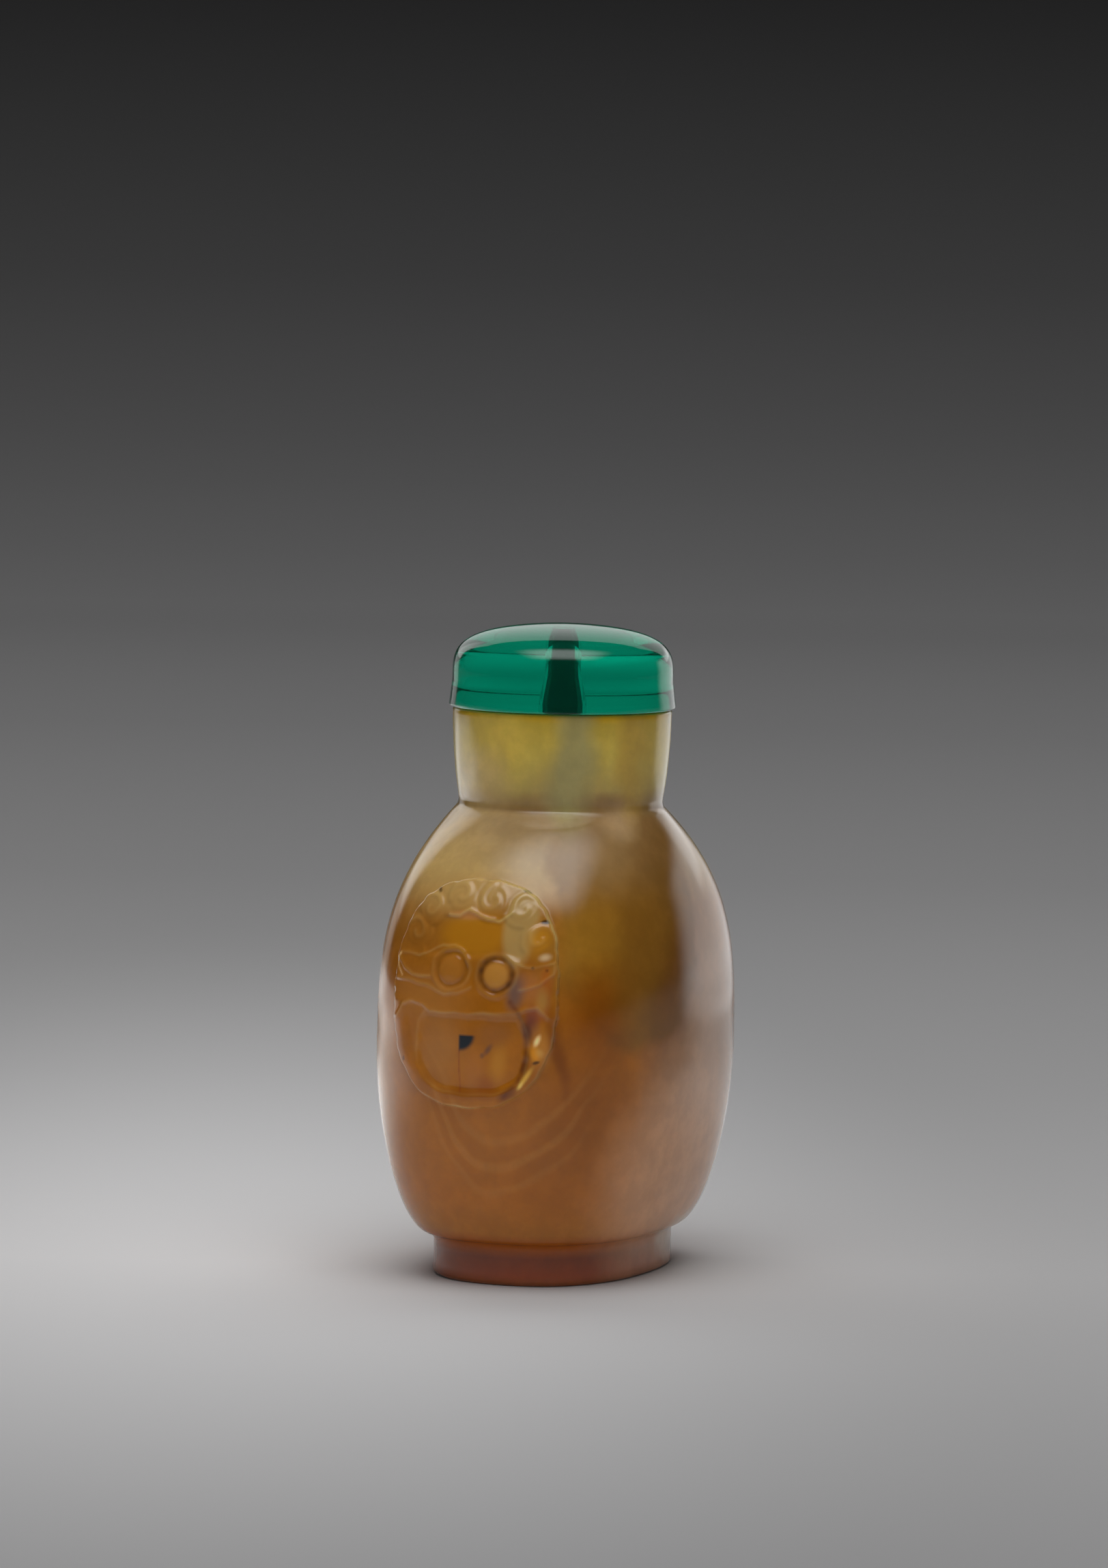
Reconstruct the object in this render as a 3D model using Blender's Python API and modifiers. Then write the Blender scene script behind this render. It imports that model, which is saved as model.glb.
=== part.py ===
"""Oval agate snuff bottle and its domed glass stopper.

A beast mask and a mock ring are carved in low relief on each narrow side.
X runs across the two broad faces, Y runs through them, and Z goes up from the foot rim.
Every size is in metres.
"""

from math import cos, pi, sin

import bmesh
import bpy
from mathutils import Vector

# Foot: an oval rim with a shallow recess under the bottle.
FOOT_HALF_WIDTH = 0.0152
FOOT_HALF_DEPTH = 0.0105
FOOT_HEIGHT = 0.0042
FOOT_WAIST = 0.0001
FOOT_FILLET = 0.0006
FOOT_ROUNDING = 0.0005
FOOT_RIM_WIDTH = 0.0019
FOOT_RECESS = 0.0012

# Body: a flattened egg whose plan is a little squarer than an ellipse.
BODY_HALF_WIDTH = 0.0212
BODY_HALF_DEPTH = 0.0161
BODY_HEIGHT = 0.0422
WIDEST_HEIGHT = 0.0179
BODY_SQUARENESS = 2.4
ROUND_SQUARENESS = 2.0
WALL = 0.0022
FLOOR = 0.0035

# Neck: round, flaring a little towards a flat lip.
NECK_RADIUS = 0.0101
LIP_RADIUS = 0.0109
NECK_HEIGHT = 0.0095
NECK_FILLET = 0.0004
LIP_ROUNDING = 0.0003
MOUTH_RADIUS = 0.0035
INNER_SHOULDER_DROP = 0.0016

# Stopper: a low glass dome, with a tapered hole below that holds the cork's peg.
STOPPER_RADIUS = 0.0110
STOPPER_FLARE = 0.0003
STOPPER_HEIGHT = 0.0081
STOPPER_WALL_HEIGHT = 0.0025
STOPPER_SQUARENESS = 3.8
STOPPER_CROWN = 0.0009
CROWN_POWER = 1.45
STOPPER_EDGE = 0.00025
PEG_FOOT_RADIUS = 0.0016
PEG_TOP_RADIUS = 0.0010
PEG_HEIGHT = 0.0048
PLUG_LENGTH = 0.0050
PLUG_CHAMFER = 0.0004
SEAT_GAP = 0.0003
PEG_GAP = 0.0003
PLUG_GAP = 0.0003

# Mask and mock ring: an oval pad in low relief, with the ring's opening sunk into its lower half.
PAD_HALF_WIDTH = 0.0087
PAD_HALF_HEIGHT = 0.0110
PAD_ABOVE_WIDEST = 0.0070
PAD_SQUARENESS = 2.6
PAD_RELIEF = 0.0005
PAD_ROOT = 0.0010
RING_WIDTH = 0.0022
RING_BOTTOM_WIDTH = 0.0015
RING_SUNK = 0.00035
JAW_DROP = 0.0022
RIDGE_RADIUS = 0.00036
RIDGE_SINK = 0.00008
EYE_SPACING = 0.0048
EYE_RISE = 0.0021
EYE_RADIUS = 0.0013
EYE_RIDGE_RADIUS = 0.0020
EYE_BULGE = 0.0003
CURL_RADIUS = 0.0013
CURL_CORE = 0.0006
CURL_INSET = 0.0016
CURL_TURNS = 0.85
CURL_ANGLES = (0.58, 1.0, 1.37)
CROWN_HALF_WIDTH = 0.0042
CROWN_RISE = 0.0072
CROWN_DROP = 0.0011
CROWN_WAVE = 0.00022

# How the facets are shared out.
SIDES = 40
PAD_SIDES = 28
ROUND_STEPS = 13
JAW_STEPS = 6
EYE_SIDES = 10
CURL_STEPS = 8
CROWN_STEPS = 14
CURVE_STEPS = 9
DOME_STEPS = 12
SMOOTH_ANGLE = 0.6

# Heights that follow from the sizes above.
FOOT_TOP = FOOT_HEIGHT
WIDEST = FOOT_TOP + WIDEST_HEIGHT
NECK_BASE = FOOT_TOP + BODY_HEIGHT
LIP = NECK_BASE + NECK_HEIGHT
CAVITY_FLOOR = FOOT_RECESS + FLOOR
INNER_SHOULDER = NECK_BASE - INNER_SHOULDER_DROP
STOPPER_FOOT = LIP + SEAT_GAP
PAD_CENTRE = WIDEST + PAD_ABOVE_WIDEST
RIDGE_LIFT = PAD_RELIEF - RIDGE_SINK

# The body's curve above and below its widest level: how full it is, and how sharply it turns in.
UPPER_SWELL = (3.25, 1.0)
LOWER_SWELL = (1.7, 1.8)


def clear_scene():
    for obj in list(bpy.data.objects):
        bpy.data.objects.remove(obj, do_unlink=True)


def collection(name):
    made = bpy.data.collections.new(name)
    bpy.context.scene.collection.children.link(made)
    return made


def material(name, colour, roughness, transmission=0.0):
    made = bpy.data.materials.new(name)
    made.use_nodes = True
    shader = made.node_tree.nodes["Principled BSDF"]
    shader.inputs["Base Color"].default_value = (*colour, 1.0)
    shader.inputs["Roughness"].default_value = roughness
    shader.inputs["Metallic"].default_value = 0.0
    shader.inputs["Transmission Weight"].default_value = transmission
    return made


def mix(start, end, share):
    return start + (end - start) * share


def swell(share, curve):
    """Fullness at a share of the way from the widest level (fullness 1) to the body's end (fullness 0)."""
    power, turn = curve
    return max(0.0, 1.0 - share**power) ** (1.0 / turn)


def eased_shares(steps):
    """Shares from 0 to 1 that crowd towards 1, where the body turns in quickest."""
    return [sin(pi / 2 * step / steps) for step in range(steps + 1)]


def body_section(z):
    """Half width, half depth and squareness of the outside of the body at height z."""
    if z >= WIDEST:
        fullness = swell((z - WIDEST) / (NECK_BASE - WIDEST), UPPER_SWELL)
        end_width, end_depth, end_squareness = NECK_RADIUS, NECK_RADIUS, ROUND_SQUARENESS
    else:
        fullness = swell((WIDEST - z) / (WIDEST - FOOT_TOP), LOWER_SWELL)
        end_width = FOOT_HALF_WIDTH + FOOT_FILLET
        end_depth = FOOT_HALF_DEPTH + FOOT_FILLET
        end_squareness = BODY_SQUARENESS
    return (
        mix(end_width, BODY_HALF_WIDTH, fullness),
        mix(end_depth, BODY_HALF_DEPTH, fullness),
        mix(end_squareness, BODY_SQUARENESS, fullness),
    )


def cavity_section(z):
    """Half width, half depth and squareness of the hollow at height z. The wall thickens up to the mouth."""
    if z >= WIDEST:
        fullness = swell((z - WIDEST) / (INNER_SHOULDER - WIDEST), UPPER_SWELL)
        end_width, end_depth, end_squareness = MOUTH_RADIUS, MOUTH_RADIUS, ROUND_SQUARENESS
    else:
        fullness = swell((WIDEST - z) / (WIDEST - CAVITY_FLOOR), LOWER_SWELL)
        end_width = FOOT_HALF_WIDTH - WALL
        end_depth = FOOT_HALF_DEPTH - WALL
        end_squareness = BODY_SQUARENESS
    return (
        mix(end_width, BODY_HALF_WIDTH - WALL, fullness),
        mix(end_depth, BODY_HALF_DEPTH - WALL, fullness),
        mix(end_squareness, BODY_SQUARENESS, fullness),
    )


def signed_power(value, power):
    return abs(value) ** power * (1 if value >= 0 else -1)


def oval(half_width, half_depth, squareness, angle):
    """A point of an oval with the given squareness; 2 is an ellipse."""
    return (
        half_width * signed_power(cos(angle), 2 / squareness),
        half_depth * signed_power(sin(angle), 2 / squareness),
    )


def ring(z, half_width, half_depth, squareness, sides=SIDES):
    points = []
    for side in range(sides):
        x, y = oval(half_width, half_depth, squareness, 2 * pi * side / sides)
        points.append(Vector((x, y, z)))
    return points


def loft(name, rings, home):
    """A closed solid through rings of equally many points, with a face across the first ring and the last."""
    shape = bmesh.new()
    rows = [[shape.verts.new(point) for point in points] for points in rings]
    count = len(rows[0])
    for low, high in zip(rows, rows[1:]):
        for side in range(count):
            after = (side + 1) % count
            shape.faces.new((low[side], low[after], high[after], high[side]))
    shape.faces.new(rows[0])
    shape.faces.new(rows[-1])
    bmesh.ops.recalc_face_normals(shape, faces=shape.faces)
    return link_mesh(name, shape, home)


def link_mesh(name, shape, home):
    mesh = bpy.data.meshes.new(name)
    shape.to_mesh(mesh)
    shape.free()
    mesh.shade_smooth()
    mesh.set_sharp_from_angle(angle=SMOOTH_ANGLE)
    obj = bpy.data.objects.new(name, mesh)
    home.objects.link(obj)
    return obj


def make_guide(obj):
    """Keeps a cutter or a piece that a Boolean joins out of the render."""
    obj.hide_render = True
    obj.display_type = "WIRE"
    return obj


def foot_rings():
    """From the recess under the bottle, over the rim that it stands on, to the foot's top."""
    inner_width = FOOT_HALF_WIDTH - FOOT_RIM_WIDTH
    inner_depth = FOOT_HALF_DEPTH - FOOT_RIM_WIDTH
    levels = (
        (FOOT_RECESS, inner_width - FOOT_ROUNDING, inner_depth - FOOT_ROUNDING),
        (FOOT_ROUNDING, inner_width, inner_depth),
        (0.0, inner_width + FOOT_ROUNDING, inner_depth + FOOT_ROUNDING),
        (0.0, FOOT_HALF_WIDTH - FOOT_ROUNDING, FOOT_HALF_DEPTH - FOOT_ROUNDING),
        (FOOT_ROUNDING, FOOT_HALF_WIDTH, FOOT_HALF_DEPTH),
        (FOOT_TOP / 2, FOOT_HALF_WIDTH - FOOT_WAIST, FOOT_HALF_DEPTH - FOOT_WAIST),
        (FOOT_TOP - FOOT_FILLET, FOOT_HALF_WIDTH + FOOT_FILLET / 2, FOOT_HALF_DEPTH + FOOT_FILLET / 2),
    )
    return [ring(z, width, depth, BODY_SQUARENESS) for z, width, depth in levels]


def body_rings():
    shares = eased_shares(CURVE_STEPS)
    below = [WIDEST - share * (WIDEST - FOOT_TOP) for share in reversed(shares)]
    above = [WIDEST + share * (NECK_BASE - WIDEST) for share in shares[1:-1]]
    return [ring(z, *body_section(z)) for z in below + above]


def neck_radius(share):
    """The neck's radius at a share of its height: it flares quickly, then runs nearly straight to the lip."""
    return mix(NECK_RADIUS, LIP_RADIUS, 1 - (1 - share) ** 2)


def neck_rings():
    levels = [(NECK_BASE, NECK_RADIUS + NECK_FILLET / 2), (NECK_BASE + NECK_FILLET, neck_radius(0))]
    for share in (0.35, 0.7):
        levels.append((mix(NECK_BASE, LIP, share), neck_radius(share)))
    levels += [
        (LIP - LIP_ROUNDING, LIP_RADIUS),
        (LIP, LIP_RADIUS - LIP_ROUNDING),
        (LIP, MOUTH_RADIUS + LIP_ROUNDING),
        (LIP - LIP_ROUNDING, MOUTH_RADIUS),
        (INNER_SHOULDER, MOUTH_RADIUS),
    ]
    return [ring(z, radius, radius, ROUND_SQUARENESS) for z, radius in levels]


def cavity_rings():
    steps = CURVE_STEPS // 2
    shares = eased_shares(steps)
    above = [WIDEST + share * (INNER_SHOULDER - WIDEST) for share in reversed(shares[:-1])]
    below = [WIDEST - share * (WIDEST - CAVITY_FLOOR) for share in shares[1:]]
    return [ring(z, *cavity_section(z)) for z in above + below]


def wall_point(side, across, z):
    """A point on the outside of the body, on the narrow side where X has the sign of side."""
    half_width, half_depth, squareness = body_section(z)
    share = min(1.0, abs(across) / half_depth)
    return Vector((side * half_width * (1 - share**squareness) ** (1 / squareness), side * across, z))


def pad_point(side, across, up, lift):
    """A point of the mask, from the pad's centre, lifted off the body along its surface normal."""
    z = PAD_CENTRE + up
    step = RIDGE_RADIUS / 2
    along_across = wall_point(side, across + step, z) - wall_point(side, across - step, z)
    along_up = wall_point(side, across, z + step) - wall_point(side, across, z - step)
    return wall_point(side, across, z) + lift * along_across.cross(along_up).normalized()


def pad_outline(share, angle):
    return oval(share * PAD_HALF_WIDTH, share * PAD_HALF_HEIGHT, PAD_SQUARENESS, angle)


def pad_solid(side, home):
    """The raised oval: it follows the body, and its root is sunk into the wall."""
    levels = ((0.06, -PAD_ROOT), (1.0, -PAD_ROOT), (1.0, PAD_RELIEF * 0.4), (0.965, PAD_RELIEF))
    levels += ((0.7, PAD_RELIEF), (0.4, PAD_RELIEF), (0.06, PAD_RELIEF))
    rings = []
    for share, lift in levels:
        angles = [2 * pi * step / PAD_SIDES for step in range(PAD_SIDES)]
        rings.append([pad_point(side, *pad_outline(share, angle), lift) for angle in angles])
    return make_guide(loft(f"pad_{side_name(side)}", rings, home))


def ring_opening(share):
    """The outline of the opening inside the mock ring, round below and straight along the jaw.

    A share below 1 draws it smaller, about the opening's middle.
    """
    half_width = PAD_HALF_WIDTH - RING_WIDTH
    drop = PAD_HALF_HEIGHT - RING_BOTTOM_WIDTH - JAW_DROP
    middle = -JAW_DROP - drop / 2
    angles = [-pi * step / ROUND_STEPS for step in range(ROUND_STEPS + 1)]
    outline = [oval(half_width, drop, PAD_SQUARENESS, angle) for angle in angles]
    outline += [(half_width * (2 * step / JAW_STEPS - 1), 0.0) for step in range(1, JAW_STEPS)]
    return [(share * x, middle + share * (y - JAW_DROP - middle)) for x, y in outline]


def ring_cutter(side, home):
    """Sinks the opening of the mock ring into the pad, with walls that slope in."""
    floor = PAD_RELIEF - RING_SUNK
    top = PAD_RELIEF + RING_SUNK
    levels = ((0.1, floor), (0.55, floor), (0.97, floor), (1.03, top), (0.55, top), (0.1, top))
    rings = []
    for share, lift in levels:
        rings.append([pad_point(side, across, up, lift) for across, up in ring_opening(share)])
    return make_guide(loft(f"ring_opening_{side_name(side)}", rings, home))


def side_name(side):
    return "left" if side < 0 else "right"


def place_name(side, hand):
    """Which mask a line is on, and on which half of that mask."""
    return f"{side_name(side)}_{'far' if hand > 0 else 'near'}"


def placed(side, line):
    """A ridge's middle line, just under the pad's surface, from points in shares of the pad's half sizes."""
    return [pad_point(side, x * PAD_HALF_WIDTH, y * PAD_HALF_HEIGHT, RIDGE_LIFT) for x, y in line]


def ridge(name, points, closed, home):
    """A raised line of the carving: a tube that is more than half sunk into the pad."""
    curve = bpy.data.curves.new(name, "CURVE")
    curve.dimensions = "3D"
    curve.bevel_depth = RIDGE_RADIUS
    curve.bevel_resolution = 0
    curve.use_fill_caps = not closed
    spline = curve.splines.new("POLY")
    spline.points.add(len(points) - 1)
    for target, point in zip(spline.points, points):
        target.co = (*point, 1.0)
    spline.use_cyclic_u = closed
    tube = bpy.data.objects.new(name, curve)
    home.objects.link(tube)
    mesh = bpy.data.meshes.new_from_object(tube.evaluated_get(bpy.context.evaluated_depsgraph_get()))
    shape = bmesh.new()
    shape.from_mesh(mesh)
    bmesh.ops.remove_doubles(shape, verts=shape.verts, dist=RIDGE_RADIUS / 100)
    shape.to_mesh(mesh)
    shape.free()
    solid = bpy.data.objects.new(f"{name}_solid", mesh)
    solid.matrix_world = tube.matrix_world
    home.objects.link(solid)
    bpy.data.objects.remove(tube)
    return make_guide(solid)


def eye_parts(side, hand, home):
    """A round boss in a round socket, which a ridge edges."""
    centre = (hand * EYE_SPACING / 2, EYE_RISE)
    rim = []
    for step in range(EYE_SIDES):
        angle = 2 * pi * step / EYE_SIDES
        across = centre[0] + EYE_RIDGE_RADIUS * cos(angle)
        rim.append(pad_point(side, across, centre[1] + EYE_RIDGE_RADIUS * sin(angle), RIDGE_LIFT))
    name = place_name(side, hand)
    ridge(f"eye_ridge_{name}", rim, True, home)
    shape = bmesh.new()
    bmesh.ops.create_uvsphere(shape, u_segments=EYE_SIDES, v_segments=EYE_SIDES // 2, radius=EYE_RADIUS)
    middle = pad_point(side, *centre, PAD_RELIEF)
    outward = (pad_point(side, *centre, 2 * PAD_RELIEF) - middle).normalized()
    turn = outward.to_track_quat("Z", "Y")
    for vertex in shape.verts:
        flattened = Vector((vertex.co.x, vertex.co.y, vertex.co.z * EYE_BULGE / EYE_RADIUS))
        vertex.co = middle + turn @ flattened
    make_guide(link_mesh(f"eye_{name}", shape, home))


def curl(side, hand, angle, home):
    """One curl of the mane: an open hook that winds in, near the pad's edge in the direction of angle."""
    across, up = pad_outline(1 - CURL_INSET / PAD_HALF_WIDTH, angle)
    points = []
    for step in range(CURL_STEPS + 1):
        share = step / CURL_STEPS
        radius = mix(CURL_RADIUS, CURL_CORE, share) - RIDGE_RADIUS
        sweep = angle - pi / 2 + 2 * pi * CURL_TURNS * share
        point = pad_point(side, hand * (across + radius * cos(sweep)), up + radius * sin(sweep), RIDGE_LIFT)
        points.append(point)
    ridge(f"curl_{place_name(side, hand)}_{round(100 * angle)}", points, False, home)


def crown_line(side):
    """The scalloped edge between the curls and the forehead."""
    points = []
    for step in range(CROWN_STEPS + 1):
        across = 2 * step / CROWN_STEPS - 1
        up = CROWN_RISE - CROWN_DROP * across**2 + CROWN_WAVE * cos(4 * pi * across)
        points.append(pad_point(side, CROWN_HALF_WIDTH * across, up, RIDGE_LIFT))
    return points


def ear_line(hand):
    """The pointed ear, from above the eye out to its tip and back under the eye, in shares of the pad."""
    outline = ((0.54, 0.28), (0.72, 0.30), (0.90, 0.32), (0.89, 0.22), (0.78, 0.11), (0.52, 0.06))
    return [(hand * across, up) for across, up in outline]


def ring_end_line(hand):
    """The small arch at an upper end of the mock ring, in shares of the pad."""
    outline = ((0.94, -0.17), (0.90, -0.09), (0.79, -0.06), (0.68, -0.08), (0.62, -0.14))
    return [(hand * across, up) for across, up in outline]


def mask_ridges(side, home):
    for hand in (-1, 1):
        eye_parts(side, hand, home)
        name = place_name(side, hand)
        ridge(f"ear_{name}", placed(side, ear_line(hand)), False, home)
        ridge(f"ring_end_{name}", placed(side, ring_end_line(hand)), False, home)
        for angle in CURL_ANGLES:
            curl(side, hand, angle, home)
    ridge(f"crown_{side_name(side)}", crown_line(side), False, home)


def combine(obj, name, operation, operands):
    change = obj.modifiers.new(name, "BOOLEAN")
    change.operation = operation
    change.operand_type = "COLLECTION"
    change.collection = operands
    change.solver = "EXACT"


def bottle(home, stone):
    """The carved stone: foot, body, neck and both masks are one solid, hollowed through the mouth."""
    rings = foot_rings() + body_rings() + neck_rings() + cavity_rings()
    obj = loft("bottle", rings, home)
    obj.data.materials.append(stone)
    pads = collection("mask_pads")
    openings = collection("ring_openings")
    ridges = collection("mask_ridges")
    for side in (-1, 1):
        pad_solid(side, pads)
        ring_cutter(side, openings)
        mask_ridges(side, ridges)
    combine(obj, "add_pads", "UNION", pads)
    combine(obj, "sink_rings", "DIFFERENCE", openings)
    combine(obj, "add_ridges", "UNION", ridges)


def turned(name, profile, home, finish):
    """A solid of revolution from (radius, height) points that run from its top down its outer side."""
    mesh = bpy.data.meshes.new(name)
    points = [(radius, 0.0, z) for radius, z in profile]
    mesh.from_pydata(points, [(step, step + 1) for step in range(len(points) - 1)], [])
    obj = bpy.data.objects.new(name, mesh)
    home.objects.link(obj)
    screw = obj.modifiers.new("turn", "SCREW")
    screw.axis = "Z"
    screw.steps = SIDES
    screw.render_steps = SIDES
    screw.use_merge_vertices = True
    screw.merge_threshold = 0.00001
    screw.use_smooth_shade = True
    obj.data.materials.append(finish)
    return obj


def stopper(home, glass):
    """The dome has a round shoulder and a low crown; its side flares a little down to a flat underside."""
    dome_base = STOPPER_FOOT + STOPPER_WALL_HEIGHT
    shoulder = STOPPER_HEIGHT - STOPPER_WALL_HEIGHT - STOPPER_CROWN
    profile = [(0.0, STOPPER_FOOT + STOPPER_HEIGHT)]
    for step in range(1, DOME_STEPS + 1):
        angle = pi / 2 * (1 - step / DOME_STEPS)
        radius, rise = oval(STOPPER_RADIUS, shoulder, STOPPER_SQUARENESS, angle)
        crown = STOPPER_CROWN * (1 - (radius / STOPPER_RADIUS) ** CROWN_POWER)
        profile.append((radius, dome_base + rise + crown))
    foot_radius = STOPPER_RADIUS + STOPPER_FLARE
    hole_top = PEG_TOP_RADIUS + PEG_GAP
    hole_foot = PEG_FOOT_RADIUS + PEG_GAP
    profile += [
        (foot_radius, STOPPER_FOOT + STOPPER_EDGE),
        (foot_radius - STOPPER_EDGE, STOPPER_FOOT),
        (hole_foot, STOPPER_FOOT),
        (hole_top, STOPPER_FOOT + PEG_HEIGHT),
        (0.0, STOPPER_FOOT + PEG_HEIGHT),
    ]
    return turned("stopper", profile, home, glass)


def stopper_plug(home, cork):
    """The cork: its round plug hangs in the mouth, and its tapered peg holds it to the stopper."""
    radius = MOUTH_RADIUS - PLUG_GAP
    bottom = LIP - PLUG_LENGTH
    peg_top = STOPPER_FOOT + PEG_HEIGHT - PEG_GAP
    profile = [
        (0.0, peg_top),
        (PEG_TOP_RADIUS, peg_top),
        (PEG_FOOT_RADIUS, LIP),
        (radius, LIP),
        (radius, bottom + PLUG_CHAMFER),
        (radius - PLUG_CHAMFER, bottom),
        (0.0, bottom),
    ]
    return turned("stopper_plug", profile, home, cork)


def main():
    clear_scene()
    home = collection("snuff_bottle")
    bottle(home, material("agate", (0.42, 0.25, 0.10), 0.15))
    stopper(home, material("green_glass", (0.02, 0.34, 0.20), 0.03, 1.0))
    stopper_plug(home, material("cork", (0.16, 0.10, 0.05), 0.85))


main()
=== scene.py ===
"""The snuff bottle's looks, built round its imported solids. Sizes are in metres unless a name ends in MM."""

from math import cos, pi, radians, sin

import bpy
import numpy as np
from mathutils import Matrix, Vector


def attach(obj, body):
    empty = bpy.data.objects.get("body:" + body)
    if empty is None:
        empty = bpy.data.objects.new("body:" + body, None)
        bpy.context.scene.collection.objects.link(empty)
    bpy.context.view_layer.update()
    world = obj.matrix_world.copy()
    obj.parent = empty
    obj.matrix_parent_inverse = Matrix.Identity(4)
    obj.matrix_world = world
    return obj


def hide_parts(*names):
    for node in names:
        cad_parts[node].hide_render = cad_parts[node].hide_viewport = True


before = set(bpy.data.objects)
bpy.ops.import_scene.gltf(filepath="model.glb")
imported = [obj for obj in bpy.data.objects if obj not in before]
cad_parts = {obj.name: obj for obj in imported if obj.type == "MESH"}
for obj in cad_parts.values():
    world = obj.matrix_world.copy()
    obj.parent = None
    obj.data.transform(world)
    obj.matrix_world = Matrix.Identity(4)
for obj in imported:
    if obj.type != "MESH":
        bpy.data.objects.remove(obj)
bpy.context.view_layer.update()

MM = 0.001

# Bottle: the same profile as its solid.
FOOT_HALF_WIDTH = 0.0152
FOOT_HALF_DEPTH = 0.0105
FOOT_TOP = 0.0042
FOOT_WAIST = 0.0001
FOOT_FILLET = 0.0006
FOOT_ROUNDING = 0.0005
FOOT_RIM_WIDTH = 0.0019
FOOT_RECESS = 0.0012
BODY_HALF_WIDTH = 0.0212
BODY_HALF_DEPTH = 0.0161
WIDEST = 0.0221
NECK_BASE = 0.0464
LIP = 0.0559
NECK_RADIUS = 0.0101
LIP_RADIUS = 0.0109
NECK_FILLET = 0.0004
LIP_ROUNDING = 0.0003
MOUTH_RADIUS = 0.0035
INNER_SHOULDER = 0.0448
CAVITY_FLOOR = 0.0047
WALL = 0.0022
BODY_SQUARENESS = 2.4
ROUND_SQUARENESS = 2.0
UPPER_SWELL = (3.25, 1.0)
LOWER_SWELL = (1.7, 1.8)
CAP_SHARE = 0.04

# Mask: an oval pad in low relief on each narrow side, here in millimetres from the pad's centre.
PAD_CENTRE = 0.0291
PAD_HALF_MM = (8.7, 11.0)
PAD_SQUARENESS = 2.5
PAD_RELIEF_MM = 0.5
MASK_SHIFT_MM = -0.45
MASK_ANGLE = 0.60
MASK_COLUMNS = 134
BROAD_COLUMNS = 34
MASK_ROWS = 168
MASK_LOW = 0.0175
MASK_HIGH = 0.0409
MASK_HALF_DEPTH = 0.0105

# Stopper and cork.
STOPPER_RADIUS = 0.0110
STOPPER_FLARE = 0.0003
STOPPER_FOOT = 0.05598
STOPPER_TOP = 0.0643
STOPPER_WALL_TOP = 0.0587
STOPPER_CROWN = 0.0009
CROWN_POWER = 1.45
STOPPER_SQUARENESS = 3.8
STOPPER_EDGE = 0.00025
PEG_FOOT_RADIUS = 0.0016
PEG_TOP_RADIUS = 0.0010
PEG_TOP = 0.0607
PEG_GAP = 0.00003
PLUG_RADIUS = 0.0032
PLUG_BOTTOM = 0.0509
PLUG_CHAMFER = 0.0004
TURNED_SIDES = 128

# Camera: the photograph's viewing angle, with its aim above and left of the bottle's middle.
IMAGE_HEIGHT = 2296
CAMERA_AZIMUTH = -67.0
CAMERA_ELEVATION = 6.0
CAMERA_ROLL = 1.0
CAMERA_DISTANCE = 0.748
FOCUS_HEIGHT = 0.033
AIM_RIGHT = -0.00071
AIM_UP = 0.0152
SENSOR = 36.0
FOCAL_PIXELS = 11000.0


def mix(start, end, share):
    return start + (end - start) * share


def swell(share, curve):
    power, turn = curve
    return max(0.0, 1.0 - share**power) ** (1.0 / turn)


def body_section(z):
    """Half width, half depth and squareness of the outside of the body at height z."""
    if z >= WIDEST:
        fullness = swell((z - WIDEST) / (NECK_BASE - WIDEST), UPPER_SWELL)
        ends = (NECK_RADIUS, NECK_RADIUS, ROUND_SQUARENESS)
    else:
        fullness = swell((WIDEST - z) / (WIDEST - FOOT_TOP), LOWER_SWELL)
        ends = (FOOT_HALF_WIDTH + FOOT_FILLET, FOOT_HALF_DEPTH + FOOT_FILLET, BODY_SQUARENESS)
    widest = (BODY_HALF_WIDTH, BODY_HALF_DEPTH, BODY_SQUARENESS)
    return tuple(mix(end, full, fullness) for end, full in zip(ends, widest))


def cavity_section(z):
    """The same for the hollow inside."""
    if z >= WIDEST:
        fullness = swell((z - WIDEST) / (INNER_SHOULDER - WIDEST), UPPER_SWELL)
        ends = (MOUTH_RADIUS, MOUTH_RADIUS, ROUND_SQUARENESS)
    else:
        fullness = swell((WIDEST - z) / (WIDEST - CAVITY_FLOOR), LOWER_SWELL)
        ends = (FOOT_HALF_WIDTH - WALL, FOOT_HALF_DEPTH - WALL, BODY_SQUARENESS)
    widest = (BODY_HALF_WIDTH - WALL, BODY_HALF_DEPTH - WALL, BODY_SQUARENESS)
    return tuple(mix(end, full, fullness) for end, full in zip(ends, widest))


def arc_levels(centre_z, centre_inset, radius, start, end, steps):
    """(height, inset) along a quarter round, where inset is how far in from the rim's outside it lies."""
    angles = np.linspace(start, end, steps)
    return [(centre_z + radius * sin(a), centre_inset - radius * cos(a)) for a in angles]


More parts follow.
